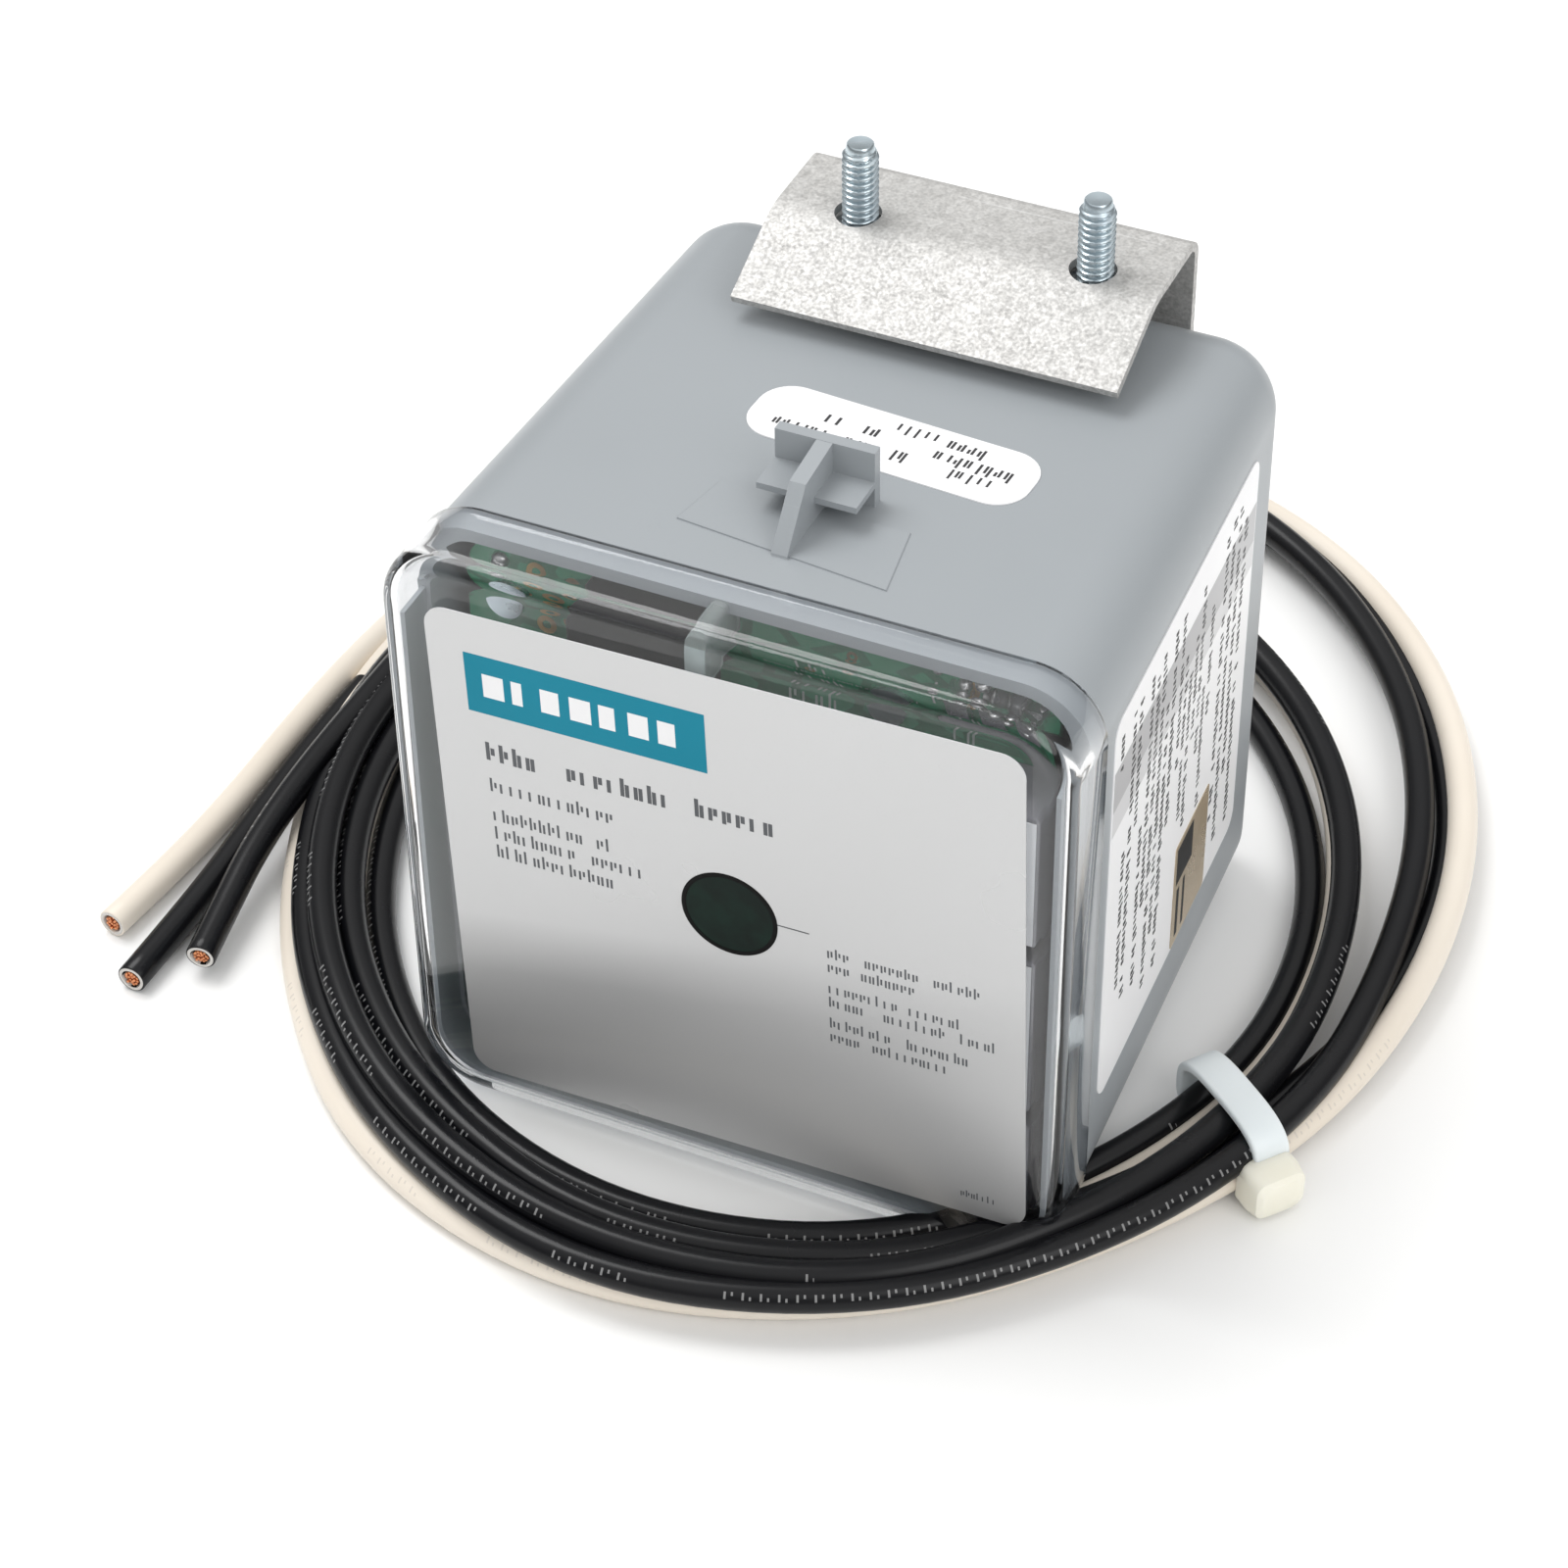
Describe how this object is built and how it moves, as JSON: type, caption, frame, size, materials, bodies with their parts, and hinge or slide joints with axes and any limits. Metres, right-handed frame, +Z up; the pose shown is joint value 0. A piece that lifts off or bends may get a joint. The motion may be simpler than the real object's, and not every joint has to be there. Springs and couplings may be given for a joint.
{
  "type": "whole house surge protector",
  "caption": "Boxy surge suppressor with a clear front cover, a round status window, a sliding hanger bracket on threaded studs, and long coiled pigtail leads held by a cable tie.",
  "frame": {"origin": "centre of the box's flat base", "axes": "+Z up along the studs, -Y towards the clear front cover, +X to the right seen from the front"},
  "size_m": [0.194, 0.2193, 0.1225],
  "materials": {
    "housing_grey": "smooth semi-gloss moulded grey plastic",
    "clear_plastic": "clear moulded polycarbonate with soft bright edges",
    "label_silver": null,
    "label_white": null,
    "window_dark": "dark green tinted window",
    "foil_gold": "gold foil seal",
    "galvanised_steel": "dull galvanised sheet with fine scratches",
    "zinc_steel": "bright zinc-plated screw",
    "circuit_green": "green solder mask",
    "component_dark": "dark moulded component case",
    "module_grey": "grey semi-clear moulded block",
    "light_pipe": "clear acrylic",
    "led_green": "green lamp lens",
    "solder_metal": "tinned metal",
    "varistor_blue": "blue epoxy coating",
    "fuse_tan": "ceramic body",
    "film_yellow": "moulded film capacitor case",
    "bushing_black": "black moulded rubber",
    "lead_black": "glossy black nylon-jacketed insulation",
    "lead_white": "cream-white nylon-jacketed insulation",
    "tie_nylon": "milky translucent nylon"
  },
  "bodies": {
    "protector": {"housing": "housing_grey", "clear_cover": "clear_plastic", "front_label": "label_silver", "status_window": "window_dark", "rating_label": "label_white", "side_label": "label_white", "foil_seal": "foil_gold", "mounting_screw_left": "zinc_steel", "mounting_screw_right": "zinc_steel", "circuit_board": "circuit_green", "board_screws": "zinc_steel", "surge_module_top": "module_grey", "surge_module_middle": "module_grey", "surge_module_bottom": "module_grey", "thermal_cutout": "component_dark", "status_light_pipe": "light_pipe", "status_leds": "led_green", "lead_terminals": "solder_metal", "varistors": "varistor_blue", "thermal_fuses": "fuse_tan", "filter_capacitors": "film_yellow", "lead_bushing": "bushing_black", "inner_leads": "lead_black", "lead_exit_left": "lead_black", "lead_exit_middle": "lead_white", "lead_exit_right": "lead_black", "lead_tail_neutral": "lead_white", "lead_tail_line_one": "lead_black", "lead_tail_line_two": "lead_black", "lead_coil": "lead_black", "cable_tie": "tie_nylon"},
    "bracket": {"hanger_bracket": "galvanised_steel"}
  },
  "joints": [
    {"name": "bracket_slide", "type": "slide", "parent": "protector", "child": "bracket", "axis": [0, 0, 1], "range_m": [0, 0.011]}
  ]
}
